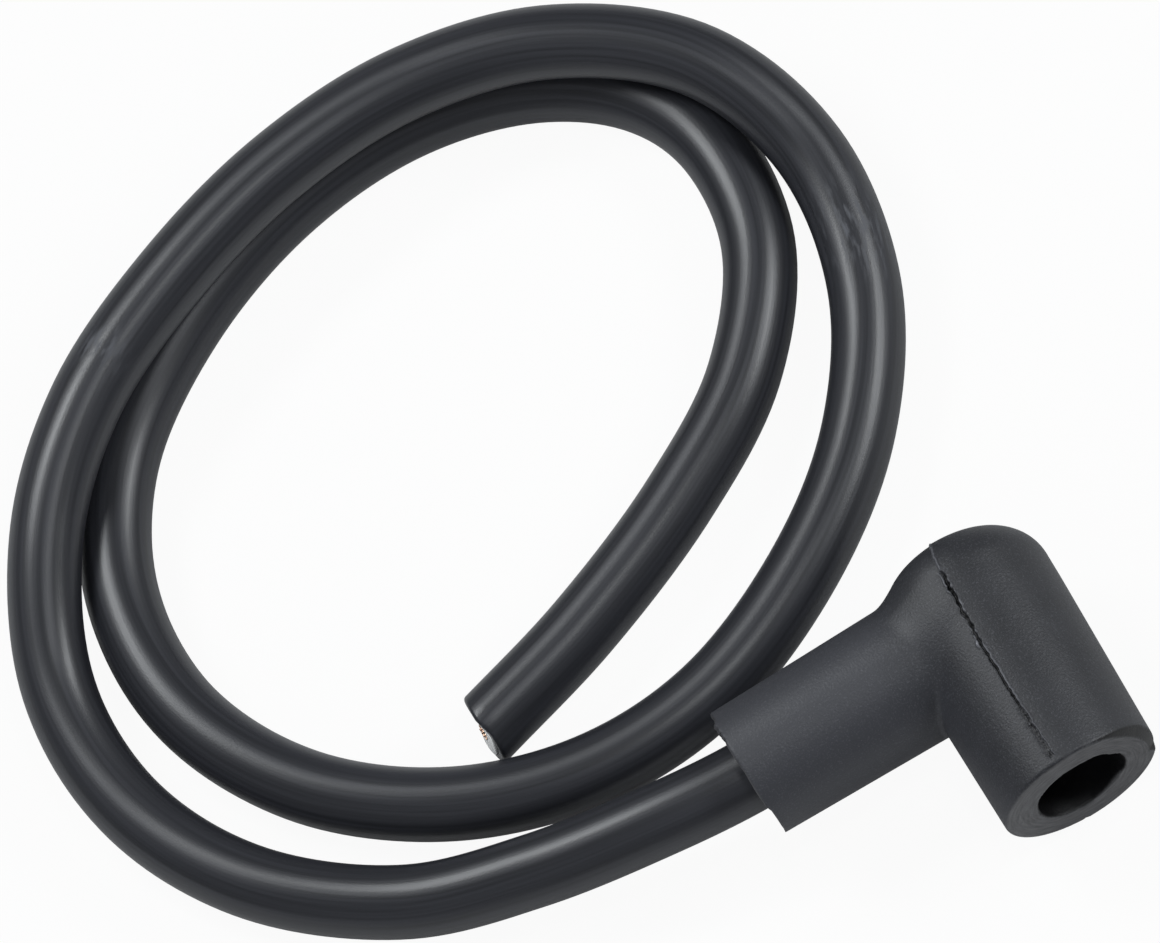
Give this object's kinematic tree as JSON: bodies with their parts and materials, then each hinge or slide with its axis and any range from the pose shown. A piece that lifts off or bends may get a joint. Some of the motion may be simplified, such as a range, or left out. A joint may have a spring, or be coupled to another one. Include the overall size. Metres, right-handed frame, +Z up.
{
  "type": "spark plug wire",
  "caption": "Coiled black ignition cable with a right-angled moulded rubber boot on one end and a bare cut at the other.",
  "frame": {"origin": "on the table under the middle of the boot's box, the boot lying on its side", "axes": "+X from the boot's cable mouth to its elbow, -Y out of the plug socket, +Z up from the table"},
  "size_m": [0.0933, 0.1007, 0.0166],
  "materials": {
    "boot_rubber": "matte charcoal moulded rubber with a torn parting line",
    "terminal_metal": "stamped, tin-plated sheet metal",
    "jacket_rubber": "satin black extruded cable jacket with light scuffs",
    "insulation_white": "white insulation, cut across",
    "conductor_copper": "bare copper strands"
  },
  "bodies": {
    "root": {"boot": "boot_rubber", "plug_terminal": "terminal_metal", "wire_jacket": "jacket_rubber", "wire_insulation": "insulation_white", "wire_conductor": "conductor_copper"}
  },
  "joints": []
}
